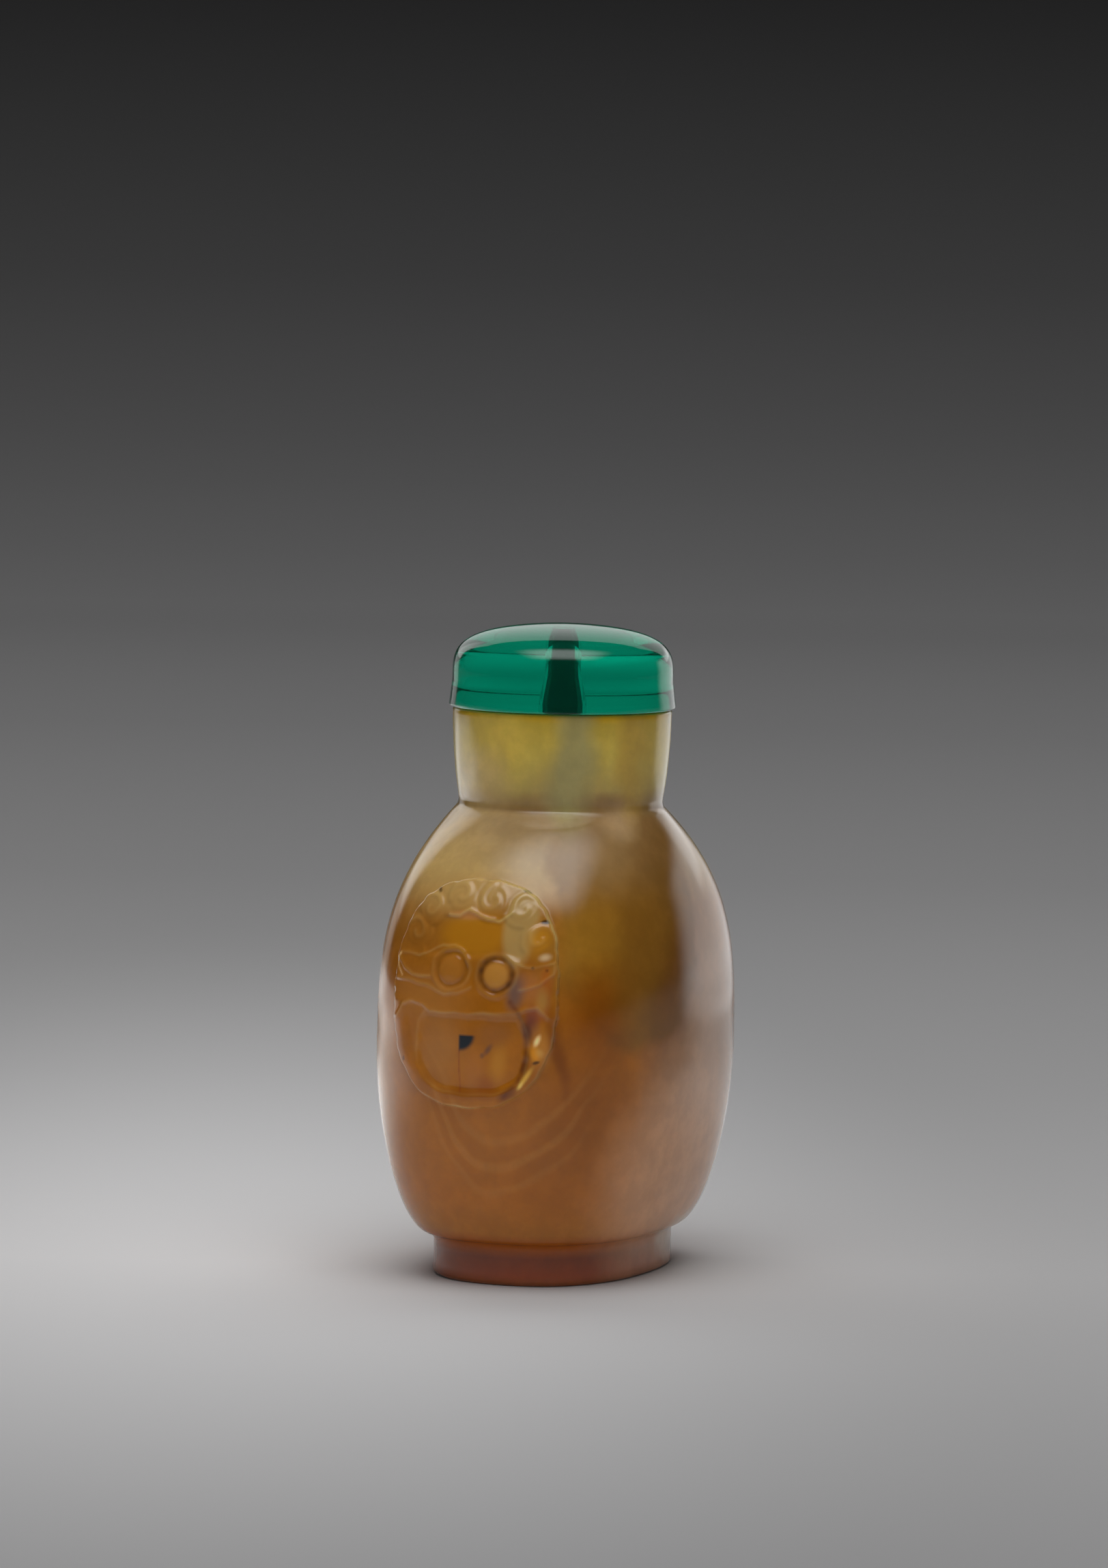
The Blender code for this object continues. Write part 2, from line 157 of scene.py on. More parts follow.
def foot_rows():
    rows = []
    recess_width = FOOT_HALF_WIDTH - FOOT_RIM_WIDTH
    recess_depth = FOOT_HALF_DEPTH - FOOT_RIM_WIDTH
    for share in (CAP_SHARE, 0.4, 0.8, 0.95):
        rows.append((FOOT_RECESS, share * recess_width, share * recess_depth, BODY_SQUARENESS))
    insets = [(FOOT_RECESS, FOOT_RIM_WIDTH + FOOT_ROUNDING / 4)]
    insets += arc_levels(FOOT_ROUNDING, FOOT_RIM_WIDTH - FOOT_ROUNDING, -FOOT_ROUNDING, 0.0, pi / 2, 5)
    insets += arc_levels(FOOT_ROUNDING, FOOT_ROUNDING, FOOT_ROUNDING, -pi / 2, 0.0, 6)
    for share in (0.3, 0.5, 0.7):
        insets.append((share * FOOT_TOP, FOOT_WAIST * sin(pi * share)))
    for share in (0.82, 0.88, 0.94, 0.97):
        rise = (share - 0.8) / 0.2
        insets.append((share * FOOT_TOP, FOOT_WAIST * (1 - rise) - FOOT_FILLET * rise**2))
    for z, inset in insets:
        rows.append((z, FOOT_HALF_WIDTH - inset, FOOT_HALF_DEPTH - inset, BODY_SQUARENESS))
    return rows


def body_rows():
    low = MASK_LOW - (MASK_LOW - FOOT_TOP) * np.sin(np.linspace(pi / 2, 0, 24, endpoint=False))
    middle = np.linspace(MASK_LOW, MASK_HIGH, MASK_ROWS, endpoint=False)
    high = np.linspace(MASK_HIGH, NECK_BASE - NECK_FILLET / 2, 12)
    return [(z, *body_section(z)) for z in np.concatenate([low, middle, high])]


def neck_radius(share):
    return mix(NECK_RADIUS, LIP_RADIUS, 1 - (1 - share) ** 2)


def neck_rows():
    levels = [(NECK_BASE, NECK_RADIUS + NECK_FILLET / 3)]
    for share in (0.04, 0.08, *np.linspace(0.15, 0.94, 12)):
        levels.append((mix(NECK_BASE, LIP, share), neck_radius(share)))
    for angle in np.linspace(0, pi / 2, 5):
        reach = LIP_RADIUS - LIP_ROUNDING * (1 - cos(angle))
        levels.append((LIP - LIP_ROUNDING * (1 - sin(angle)), reach))
    levels.append((LIP, mix(LIP_RADIUS, MOUTH_RADIUS, 0.5)))
    for angle in np.linspace(pi / 2, 0, 4):
        reach = MOUTH_RADIUS + LIP_ROUNDING * (1 - cos(angle))
        levels.append((LIP - LIP_ROUNDING * (1 - sin(angle)), reach))
    levels += [(mix(LIP, INNER_SHOULDER, share), MOUTH_RADIUS) for share in (0.5, 1.0)]
    return [(z, radius, radius, ROUND_SQUARENESS) for z, radius in levels]


def cavity_rows():
    heights = INNER_SHOULDER - (INNER_SHOULDER - WIDEST) * np.linspace(0.12, 1, 9)
    depths = WIDEST - (WIDEST - CAVITY_FLOOR) * np.sin(np.linspace(0, pi / 2, 9)[1:])
    rows = [(z, *cavity_section(z)) for z in np.concatenate([heights, depths])]
    z, half_width, half_depth, squareness = rows[-1]
    rows += [(z, share * half_width, share * half_depth, squareness) for share in (0.6, CAP_SHARE)]
    return rows


def column_angles():
    """Directions round the bottle, close together over the two masks."""
    dense = np.linspace(-MASK_ANGLE, MASK_ANGLE, MASK_COLUMNS, endpoint=False)
    sparse = np.linspace(MASK_ANGLE, pi - MASK_ANGLE, BROAD_COLUMNS, endpoint=False)
    half_turn = np.concatenate([dense, sparse])
    return np.concatenate([half_turn, half_turn + pi])


def grid_of(rows, angles):
    """Points of every row in every direction, as an array of rows by columns by 3."""
    across, along = np.abs(np.cos(angles)), np.abs(np.sin(angles))
    points = np.empty((len(rows), len(angles), 3))
    for index, (z, half_width, half_depth, squareness) in enumerate(rows):
        reach = (across**squareness + along**squareness) ** (-1 / squareness)
        points[index, :, 0] = half_width * np.cos(angles) * reach
        points[index, :, 1] = half_depth * np.sin(angles) * reach
        points[index, :, 2] = z
    return points


def grid_normals(points):
    around = np.roll(points, -1, axis=1) - np.roll(points, 1, axis=1)
    upward = np.gradient(points, axis=0)
    normals = np.cross(around, upward)
    return normals / np.maximum(np.linalg.norm(normals, axis=2, keepdims=True), 1e-12)


def ramp(value, start, end):
    """Smooth step from 0 at start to 1 at end."""
    share = np.clip((value - start) / (end - start), 0, 1)
    return share * share * (3 - 2 * share)


def bump(distance, width):
    return np.exp(-((distance / width) ** 2))


def oval_depth(u, v, centre, half, squareness):
    """How far a point lies inside an oval's edge; negative outside."""
    x, y = u - centre[0], v - centre[1]
    share = (np.abs(x / half[0]) ** squareness + np.abs(y / half[1]) ** squareness) ** (1 / squareness)
    return np.hypot(x, y) * (1 / np.maximum(share, 0.02) - 1)


def line_distance(u, v, points):
    nearest = np.full_like(u, 99.0)
    for (x0, y0), (x1, y1) in zip(points, points[1:]):
        dx, dy = x1 - x0, y1 - y0
        along = np.clip(((u - x0) * dx + (v - y0) * dy) / (dx * dx + dy * dy), 0, 1)
        nearest = np.minimum(nearest, np.hypot(u - x0 - along * dx, v - y0 - along * dy))
    return nearest


# The carving's parts, in millimetres across and up from the mask's middle.
# Curls of the mane: centre, size, starting angle in degrees and hand.
CURLS = (
    ((-1.9, 9.3), 1.4, 200, -1),
    ((1.5, 9.0), 1.45, 100, 1),
    ((4.6, 8.3), 1.35, 60, 1),
    ((6.5, 5.6), 1.3, 30, 1),
    ((-5.0, 8.0), 1.35, 130, -1),
    ((-6.2, 5.7), 1.3, 150, -1),
)
CURL_TURNS = 0.85
EYES = ((-1.86, 2.4), (2.84, 2.1))
EYE_RADIUS = 1.25
EYE_GROOVE = 1.55
EYE_RIDGE = 2.0
# Raised lines: height in millimetres, strength of the painted highlight along the line, and course.
RIDGES = (
    (
        0.05,
        0.28,
        ((-8.2, 3.3), (-7.8, 3.6), (-5.5, 3.5), (-4.3, 3.95), (-3.0, 4.65), (-1.7, 4.7), (-0.6, 4.1)),
    ),
    (0.06, 0.35, ((-8.2, 3.3), (-7.3, 2.2), (-6.2, 1.6), (-4.1, 1.6))),
    (0.05, 0.28, ((-8.1, 1.2), (-6.2, 1.05), (-4.4, 0.8), (-2.4, 0.1), (-0.9, 0.2), (0.4, 0.9))),
    (0.07, 0.35, ((4.7, 3.3), (5.6, 3.0), (6.4, 2.9), (7.3, 3.1), (8.3, 3.5))),
    (0.10, 0.3, ((8.3, 3.5), (8.0, 2.4), (6.9, 1.3), (5.2, 0.8))),
    (0.09, 0.25, ((-7.9, -2.6), (-7.2, -1.3), (-6.0, -0.8), (-4.8, -1.0), (-3.9, -1.75))),
    (0.06, 0.3, ((-3.9, -1.75), (0.5, -1.65), (4.9, -1.4))),
    (0.12, 0.2, ((4.9, -1.4), (5.8, -0.95), (6.9, -0.9), (7.8, -1.8))),
    (0.12, 0.7, ((-2.7, 7.5), (-1.6, 7.4), (-0.7, 8.0), (0.3, 7.7), (1.4, 7.2), (2.5, 7.1), (3.6, 7.8))),
)
OPENING_CENTRE = (0.4, -4.9)
OPENING_HALF = (5.75, 4.6)
OPENING_SQUARENESS = 2.8
JAW = -1.7
MANE_FOOT = 3.6
MANE_DEPTH = 1.9
# Rises and hollows of the carving.
CURL_RISE = 0.08
SPIRAL_RISE = 0.035
SPIRAL_GROOVE = 0.045
FOREHEAD_HOLLOW = 0.16
EYE_RING_RISE = 0.08
EYE_RING_GROOVE = 0.12
EYE_BULGE = 0.10
OPENING_HOLLOW = 0.2
RING_SWELL = 0.08


def curl_line(centre, size, start, hand):
    shares = np.linspace(0, 1, 26)
    radii = size * (1 - 0.78 * shares)
    angles = radians(start) + hand * 2 * pi * CURL_TURNS * shares
    return [(centre[0] + r * cos(a), centre[1] + r * sin(a)) for r, a in zip(radii, angles)]


def relief(u, v):
    """Height of the carving above the body in millimetres, with how much painted highlight along the carved
    edges and painted shade in the hollows each point gets.
    """
    u = u + 0.05 * np.sin(1.9 * v + 0.6) + 0.03 * np.sin(4.3 * v)
    v = v + 0.05 * np.sin(2.3 * u + 1.1)
    pad = oval_depth(u, v, (0.0, 0.0), PAD_HALF_MM, PAD_SQUARENESS)
    curls = np.full_like(u, -99.0)
    spirals = np.full_like(u, 99.0)
    for centre, size, start, hand in CURLS:
        curls = np.maximum(curls, 1.16 * size - np.hypot(u - centre[0], v - centre[1]))
        spirals = np.minimum(spirals, line_distance(u, v, curl_line(centre, size, start, hand)))
    rim = (v > MANE_FOOT) & (pad < MANE_DEPTH)
    pad = np.where(rim, np.maximum(np.minimum(pad, curls + 1.7), curls), pad)
    height = PAD_RELIEF_MM * ramp(pad, -0.02, 0.26)
    inside = ramp(pad, 0.1, 0.5)
    patchy = 0.65 + 0.35 * np.sin(1.3 * u + 2.1) * np.sin(0.9 * v - 0.7)
    # Painted highlight along the pad's outline, paler at its lower left and upper right, where the edge
    # catches the light.
    lit = 0.3 + 0.7 * np.maximum(ramp(-0.8 * u - 0.6 * v, 3.0, 8.0), ramp(0.8 * u + 0.9 * v, 9.5, 11.5))
    lines = bump(pad - 0.15, 0.13) * patchy * lit

    height += inside * CURL_RISE * ramp(curls, 0.0, 0.5)
    height += inside * (SPIRAL_RISE * bump(spirals, 0.28) - SPIRAL_GROOVE * bump(spirals - 0.46, 0.26))
    # Painted highlight along the spirals.
    lines = np.maximum(lines, inside * 0.16 * bump(spirals, 0.18) * patchy)
    forehead = np.minimum(oval_depth(u, v, (0.2, 4.9), (5.4, 3.0), 2.6), -curls)
    forehead = np.minimum(forehead, 0.6 * (v - 3.3))
    height -= FOREHEAD_HOLLOW * ramp(forehead, 0.0, 0.5)
    # Painted shade in the forehead's hollow.
    hollow = 0.5 * ramp(forehead, 0.0, 0.5)

    for centre in EYES:
        reach = np.hypot(u - centre[0], v - centre[1])
        height += EYE_RING_RISE * bump(reach - EYE_RIDGE, 0.26)
        height -= EYE_RING_GROOVE * bump(reach - EYE_GROOVE, 0.24)
        height += EYE_BULGE * ramp(EYE_RADIUS - reach, 0.0, 0.9)
        # Painted highlight along the eye's ridge.
        lines = np.maximum(lines, 0.15 * bump(reach - EYE_RIDGE, 0.18) * patchy)
        # Painted shade in the eye's groove.
        hollow = np.maximum(hollow, 0.8 * bump(reach - EYE_GROOVE, 0.2))
    for rise, highlight_strength, course in RIDGES:
        distance = line_distance(u, v, course)
        height += rise * inside * bump(distance, 0.18)
        # Painted highlight along the raised line.
        lines = np.maximum(lines, highlight_strength * inside * bump(distance, 0.12) * patchy)

    opening = oval_depth(u, v, OPENING_CENTRE, OPENING_HALF, OPENING_SQUARENESS)
    opening = np.minimum(opening, JAW - v)
    height -= OPENING_HOLLOW * ramp(opening, -0.1, 0.6)
    band = inside * ramp(JAW + 1.6 - v, 0.0, 1.0) * (1 - ramp(opening, -0.2, 0.1))
    height += RING_SWELL * band * np.sin(np.clip(pad / 2.4, 0, 1) * pi)
    # Painted highlight along the opening's edge.
    lines = np.maximum(lines, 0.15 * bump(opening + 0.02, 0.14) * patchy)
    return np.maximum(height, 0.0), lines, hollow


# What lies in the stone of the near mask, with a painted highlight, painted glints and painted shade among
# the stains: colour, middle, half sizes, tilt in degrees, softness and strength.
STAINS_AND_PAINTED_LIGHT = (
    ((152, 103, 52), (-4.6, -0.3), (4.4, 2.0), -4, 0.8, 0.5),
    ((150, 98, 15), (0.2, 5.9), (3.5, 2.1), 0, 0.35, 0.8),
    ((150, 124, 74), (4.6, 6.7), (1.6, 3.6), 0, 0.25, 0.75),
    ((158, 126, 72), (-1.5, 9.2), (4.5, 1.7), 5, 0.6, 0.5),
    ((160, 108, 22), (6.5, 5.5), (0.9, 1.4), 0, 0.8, 0.75),
    # Painted highlight on the small curl at the mask's right.
    ((184, 160, 122), (7.2, 3.9), (0.45, 0.3), 10, 0.8, 0.7),
    ((160, 105, 62), (-0.9, 7.5), (1.7, 0.35), 0, 0.6, 0.6),
    ((150, 98, 38), (-1.86, 2.4), (1.2, 1.2), 0, 0.3, 0.5),
    ((160, 112, 48), (2.84, 2.1), (1.2, 1.2), 0, 0.25, 0.8),
    ((92, 72, 66), (4.9, 0.5), (0.75, 1.5), -12, 0.7, 0.85),
    ((142, 72, 22), (7.5, 1.7), (0.4, 1.3), 5, 0.8, 0.6),
    ((150, 95, 55), (6.2, 0.9), (0.9, 1.4), 0, 0.8, 0.5),
    ((120, 62, 44), (6.6, -1.6), (0.75, 0.8), -20, 0.8, 0.75),
    ((85, 46, 44), (6.5, -2.9), (0.6, 1.2), 10, 0.7, 0.75),
    ((165, 108, 40), (7.2, -4.6), (0.8, 1.8), 5, 0.7, 0.7),
    # Painted glints where facets at the ring's lower right catch the light: this line and the next three.
    ((225, 196, 135), (6.95, -4.05), (0.2, 0.5), -20, 0.8, 0.85),
    ((190, 150, 60), (6.0, -7.6), (0.2, 0.9), -32, 0.8, 0.8),
    ((205, 175, 90), (5.5, -8.4), (0.16, 0.4), -30, 0.8, 0.8),
    ((190, 125, 25), (6.8, -5.3), (0.35, 0.7), 10, 0.7, 0.7),
    # Painted shade on the opening's inner slope, at its lower left and along its bottom: this line and the
    # next.
    ((125, 70, 10), (-4.2, -8.6), (0.9, 1.2), -30, 0.8, 0.8),
    ((112, 60, 10), (0.6, -9.35), (3.0, 0.55), 2, 0.8, 0.85),
    ((150, 105, 60), (-2.8, -5.4), (2.2, 3.0), 0, 0.8, 0.45),
    ((165, 112, 36), (3.3, -6.4), (0.7, 1.6), -8, 0.8, 0.6),
    ((150, 94, 46), (0.9, -7.2), (1.2, 1.9), 0, 0.8, 0.5),
    ((122, 64, 22), (2.1, -8.6), (1.0, 0.9), 20, 0.8, 0.6),
    ((124, 78, 40), (3.0, -3.4), (1.6, 1.2), 15, 0.8, 0.5),
    ((72, 54, 52), (2.3, -5.1), (0.22, 0.55), -35, 0.9, 0.7),
    ((62, 38, 34), (6.0, -3.3), (0.4, 0.8), 8, 0.8, 0.7),
    ((70, 34, 16), (5.9, -6.4), (0.3, 0.9), -14, 0.8, 0.6),
    ((88, 44, 14), (4.3, -9.3), (0.9, 0.4), 35, 0.8, 0.7),
    ((150, 116, 58), (7.3, -0.2), (0.5, 1.0), 0, 0.8, 0.5),
    ((176, 132, 66), (7.2, -5.2), (0.3, 0.4), 30, 0.8, 0.6),
    ((78, 58, 50), (1.7, -5.7), (0.2, 0.25), 0, 0.6, 0.6),
    ((40, 22, 10), (4.5, 9.95), (0.42, 0.2), -20, 0.4, 0.95),
    ((40, 22, 10), (6.8, 7.15), (0.42, 0.22), 0, 0.4, 0.95),
    ((60, 38, 15), (-4.5, 9.6), (0.18, 0.3), 20, 0.4, 0.8),
    ((60, 30, 15), (6.25, 2.9), (0.16, 0.14), 0, 0.4, 0.7),
    ((60, 30, 15), (7.5, 2.7), (0.14, 0.12), 0, 0.4, 0.6),
    ((45, 25, 12), (6.9, -6.15), (0.32, 0.16), 15, 0.4, 0.85),
    ((70, 42, 20), (-6.9, -6.6), (0.14, 0.25), 0, 0.4, 0.7),
)
# Thin stains that run along a line, and a painted highlight along the left ear's edge: colour, width,
# strength and course.
SEAMS_AND_EAR_HIGHLIGHT = (
    ((82, 38, 20), 0.24, 0.7, ((4.4, -0.4), (5.3, -1.6), (6.0, -3.1), (6.0, -5.8), (5.3, -8.0), (3.9, -9.6))),
    ((110, 48, 22), 0.09, 0.75, ((-0.72, -5.2), (-0.66, -7.5), (-0.5, -9.4))),
    ((128, 68, 28), 0.2, 0.4, ((8.2, 2.8), (7.9, 0.5), (7.6, -1.8))),
    # Painted highlight along the left ear's edge.
    ((225, 190, 130), 0.09, 0.6, ((-7.9, 3.5), (-8.25, 2.9), (-8.1, 2.2), (-7.5, 1.4))),
    ((140, 84, 24), 0.3, 0.4, ((-5.6, -2.6), (-5.8, -5.5), (-5.0, -8.0))),
)
# Darker rings along the eyes' grooves: colour and strength for each eye.
EYE_GROOVE_RINGS = (((112, 70, 22), 0.4), ((62, 38, 20), 0.72))
SPOT_CORNER = (-0.75, -3.8)
SPOT_SIZE = (1.65, 1.55)
SPOT_COLOUR = (24, 30, 36)


def blend(paint, colour, share):
    """Lay a colour over what is already painted, as colour and cover."""
    share = share[:, None]
    cover = paint[:, 3:]
    total = share + cover * (1 - share)
    tint = np.array(rgb(*colour)[:3])
    mixed = (tint * share + paint[:, :3] * cover * (1 - share)) / np.maximum(total, 1e-6)
    paint[:, :3], paint[:, 3:] = mixed, total


# The near mask's stains and eye-groove rings, with painted glints, painted highlights and painted shade among
# them, as colour and cover.
def stains(u, v):
    paint = np.zeros((len(u), 4))
    for colour, centre, half, tilt, soft, strength in STAINS_AND_PAINTED_LIGHT:
        x, y = u - centre[0], v - centre[1]
        turn = radians(tilt)
        along, over = x * cos(turn) + y * sin(turn), y * cos(turn) - x * sin(turn)
        reach = np.hypot(along / half[0], over / half[1])
        blend(paint, colour, strength * ramp(reach, 1 + soft, 1 - soft))
    for (colour, strength), centre in zip(EYE_GROOVE_RINGS, EYES):
        reach = np.hypot(u - centre[0], v - centre[1])
        angle = np.arctan2(v - centre[1], u - centre[0])
        uneven = 0.75 + 0.25 * np.sin(2 * angle + 2.6)
        uneven += 0.12 * np.sin(7 * angle) + 0.1 * np.sin(11 * angle + 1)
        blend(paint, colour, strength * uneven * bump(reach - EYE_GROOVE, 0.3))
    for colour, width, strength, course in SEAMS_AND_EAR_HIGHLIGHT:
        uneven = 0.8 + 0.2 * np.sin(5.1 * v + 3.7 * u) * np.sin(2.3 * v - 4.1 * u)
        blend(paint, colour, strength * uneven * bump(line_distance(u, v, course), width))
    x, y = u - SPOT_CORNER[0], SPOT_CORNER[1] - v
    corner = ramp(np.minimum(x, y), -0.12, 0.12)
    spot = corner * ramp(np.hypot(x / SPOT_SIZE[0], y / SPOT_SIZE[1]), 1.15, 0.8)
    blend(paint, SPOT_COLOUR, spot)
    return paint


def mesh_piece(name, points, faces, node):
    mesh = bpy.data.meshes.new(name)
    mesh.from_pydata(points, [], faces)
    mesh.validate()
    mesh.shade_smooth()
    mesh.set_sharp_from_angle(angle=radians(50))
    piece = bpy.data.objects.new(name, mesh)
    bpy.context.scene.collection.objects.link(piece)
    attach(piece, "root")
    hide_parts(node)
    return piece


def strip_faces(row_count, column_count):
    faces = []
    for row in range(row_count - 1):
        low, high = row * column_count, (row + 1) * column_count
        for column in range(column_count):
            after = (column + 1) % column_count
            faces.append((low + column, low + after, high + after, high + column))
    faces.append(tuple(range(column_count - 1, -1, -1)))
    faces.append(tuple(range((row_count - 1) * column_count, row_count * column_count)))
    return faces


def make_bottle():
    """One closed skin, from the recess under the foot, up the outside, over the lip and down inside."""
    outside = foot_rows() + body_rows()
    rows = outside + neck_rows() + cavity_rows()
    angles = column_angles()
    points = grid_of(rows, angles)
    normals = grid_normals(points)
    lines = np.zeros(points.shape[:2])
    hollow = np.zeros(points.shape[:2])
    paint = np.zeros((*points.shape[:2], 4))
    for side, shift in ((-1, MASK_SHIFT_MM), (1, 0.0)):
        near = (side * points[:, :, 0] > 0) & (np.abs(points[:, :, 1]) < MASK_HALF_DEPTH)
        near &= (points[:, :, 2] > MASK_LOW) & (points[:, :, 2] < MASK_HIGH)
        near[len(outside):] = False
        across = side * points[near][:, 1] / MM - shift
        upward = (points[near][:, 2] - PAD_CENTRE) / MM
        height, line, hollow_shade = relief(across, upward)
        points[near] += normals[near] * height[:, None] * MM
        lines[near] = line
        hollow[near] = hollow_shade
        if side < 0:
            paint[near] = stains(across, upward)
    faces = strip_faces(len(rows), len(angles))
    bottle = mesh_piece("bottle_skin", points.reshape(-1, 3).tolist(), faces, "bottle")
    # Stored on the mesh: the painted highlight along the carved edges and the painted shade in the hollows.
    for name, values in (("carved_edge_highlight", lines), ("carved_hollow_shade", hollow)):
        attribute = bottle.data.attributes.new(name, "FLOAT", "POINT")
        attribute.data.foreach_set("value", values.ravel().astype(np.float32))
    # Stored on the mesh: the stains with the painted light among them.
    for name, values in (("stain_and_painted_light", paint[:, :, :3]), ("stain_and_painted_light_cover", paint[:, :, 3])):
        kind, key = ("FLOAT_VECTOR", "vector") if name == "stain_and_painted_light" else ("FLOAT", "value")
        attribute = bottle.data.attributes.new(name, kind, "POINT")
        attribute.data.foreach_set(key, values.ravel().astype(np.float32))
    return bottle


def turned(name, profile, node):
    """A closed solid of revolution whose profile starts and ends on the axis."""
    angles = np.linspace(0, 2 * pi, TURNED_SIDES, endpoint=False)
    rings = [(radius, z) for radius, z in profile if radius > 0]
    points = [(r * cos(a), r * sin(a), z) for r, z in rings for a in angles]
    faces = strip_faces(len(rings), TURNED_SIDES)[:-2]
    ends = ((profile[0], 0, True), (profile[-1], len(points) - TURNED_SIDES, False))
    for (_, z), ring_start, forward in ends:
        pole = len(points)
        points.append((0.0, 0.0, z))
        for side in range(TURNED_SIDES):
            pair = (ring_start + side, ring_start + (side + 1) % TURNED_SIDES)
            faces.append((pair[1], pair[0], pole) if forward else (*pair, pole))
    return mesh_piece(name, points, faces, node)


def make_stopper():
    shoulder = STOPPER_TOP - STOPPER_CROWN - STOPPER_WALL_TOP
    foot_radius = STOPPER_RADIUS + STOPPER_FLARE
    hole_foot = PEG_FOOT_RADIUS + PEG_GAP
    hole_top = PEG_TOP_RADIUS + PEG_GAP
    profile = [(0.0, PEG_TOP + PEG_GAP), (hole_top * 0.8, PEG_TOP + PEG_GAP)]
    profile += [(mix(hole_top, hole_foot, share), mix(PEG_TOP, STOPPER_FOOT, share)) for share in (0, 0.5, 1)]
    profile += [(mix(hole_foot, foot_radius, 0.5), STOPPER_FOOT)]
    for angle in np.linspace(-pi / 2, 0, 5):
        edge = STOPPER_EDGE
        profile.append((foot_radius - edge * (1 - cos(angle)), STOPPER_FOOT + edge * (1 + sin(angle))))
    for share in (0.35, 0.7):
        profile.append((mix(foot_radius, STOPPER_RADIUS, share), mix(STOPPER_FOOT, STOPPER_WALL_TOP, share)))
    for angle in np.linspace(0, pi / 2, 40, endpoint=False):
        radius = STOPPER_RADIUS * cos(angle) ** (2 / STOPPER_SQUARENESS)
        rise = shoulder * sin(angle) ** (2 / STOPPER_SQUARENESS)
        crown = STOPPER_CROWN * (1 - (radius / STOPPER_RADIUS) ** CROWN_POWER)
        profile.append((radius, STOPPER_WALL_TOP + rise + crown))
    profile.append((0.0, STOPPER_TOP))
    return turned("stopper_glass", profile, "stopper")


def make_plug():
    profile = [(0.0, PLUG_BOTTOM), (PLUG_RADIUS - PLUG_CHAMFER, PLUG_BOTTOM)]
    profile += [(PLUG_RADIUS, PLUG_BOTTOM + PLUG_CHAMFER), (PLUG_RADIUS, LIP), (PEG_FOOT_RADIUS, LIP)]
    profile += [(PEG_TOP_RADIUS, PEG_TOP), (0.0, PEG_TOP)]
    return turned("cork_peg", profile, "stopper_plug")


class Shader:
    """A material's node tree, with short ways to add nodes."""

    def __init__(self, name):
        self.material = bpy.data.materials.new(name)
        self.material.use_nodes = True
        self.tree = self.material.node_tree
        self.main = self.tree.nodes["Principled BSDF"]

    def node(self, kind, inputs=None, output=0, **settings):
        made = self.tree.nodes.new(kind)
        for key, value in settings.items():
            setattr(made, key, value)
        for socket, value in (inputs or {}).items():
            self.put(made.inputs[socket], value)
        return made.outputs[output]

    def put(self, socket, value):
        if isinstance(value, bpy.types.NodeSocket):
            self.tree.links.new(value, socket)
        else:
            socket.default_value = value

    def math(self, operation, first, second=0.0):
        return self.node("ShaderNodeMath", {0: first, 1: second}, operation=operation)

    def ramp(self, value, start, end, low=0.0, high=1.0):
        inputs = {"Value": value, "From Min": start, "From Max": end, "To Min": low, "To Max": high}
        return self.node("ShaderNodeMapRange", inputs, interpolation_type="SMOOTHSTEP")

    def vector(self, operation, first, second):
        return self.node("ShaderNodeVectorMath", {0: first, 1: second}, operation=operation)

    def noise(self, place, scale, detail=3.0, roughness=0.5):
        inputs = {"Vector": place, "Scale": scale, "Detail": detail, "Roughness": roughness}
        return self.node("ShaderNodeTexNoise", inputs)

    def mixed(self, share, first, second):
        inputs = {0: share, 6: first, 7: second}
        return self.node("ShaderNodeMix", inputs, output=2, data_type="RGBA")

    def blob(self, place, centre, radii, tilt, soft):
        """1 inside a tilted ellipsoid and 0 outside it, with a soft edge."""
        inputs = {"Vector": place, "Center": centre, "Axis": (0, 1, 0), "Angle": tilt}
        turned_place = self.node("ShaderNodeVectorRotate", inputs, rotation_type="AXIS_ANGLE")
        offset = self.vector("SUBTRACT", turned_place, centre)
        scaled = self.vector("DIVIDE", offset, radii)
        length = self.node("ShaderNodeVectorMath", {0: scaled}, output=1, operation="LENGTH")
        return self.ramp(length, 1 + soft, 1 - soft)

    def wander(self, place, scale, detail, reach):
        """An offset in every direction that changes smoothly with the place."""
        cloud = self.node("ShaderNodeTexNoise", {"Vector": place, "Scale": scale, "Detail": detail}, output=1)
        centred = self.vector("SUBTRACT", cloud, (0.5, 0.5, 0.5))
        return self.vector("MULTIPLY", centred, (reach, reach, reach))

    def along(self, place, direction):
        """How far a place lies in a direction."""
        inputs = {0: place, 1: tuple(direction)}
        return self.node("ShaderNodeVectorMath", inputs, output=1, operation="DOT_PRODUCT")

    def tones(self, value, stops):
        """A colour that changes with a value, from stops that each have a value and a colour."""
        low, high = stops[0][0], stops[-1][0]
        share = self.node("ShaderNodeMapRange", {"Value": value, "From Min": low, "From Max": high})
        column = self.node("ShaderNodeValToRGB", {"Fac": share})
        elements = column.node.color_ramp.elements
        elements[0].color = stops[0][1]
        elements[1].color = stops[-1][1]
        for level, colour in stops[1:-1]:
            elements.new((level - low) / (high - low)).color = colour
        return column

    def attribute(self, name):
        return self.node("ShaderNodeAttribute", output=2, attribute_name=name)


def rgb(red, green, blue):
    """A colour from its 0 to 255 screen values."""
    shares = [value / 255 for value in (red, green, blue)]
    linear = [s / 12.92 if s <= 0.0393 else ((s + 0.055) / 1.055) ** 2.4 for s in shares]
    return (*linear, 1.0)


def millimetres(*values):
    return tuple(value * MM for value in values)


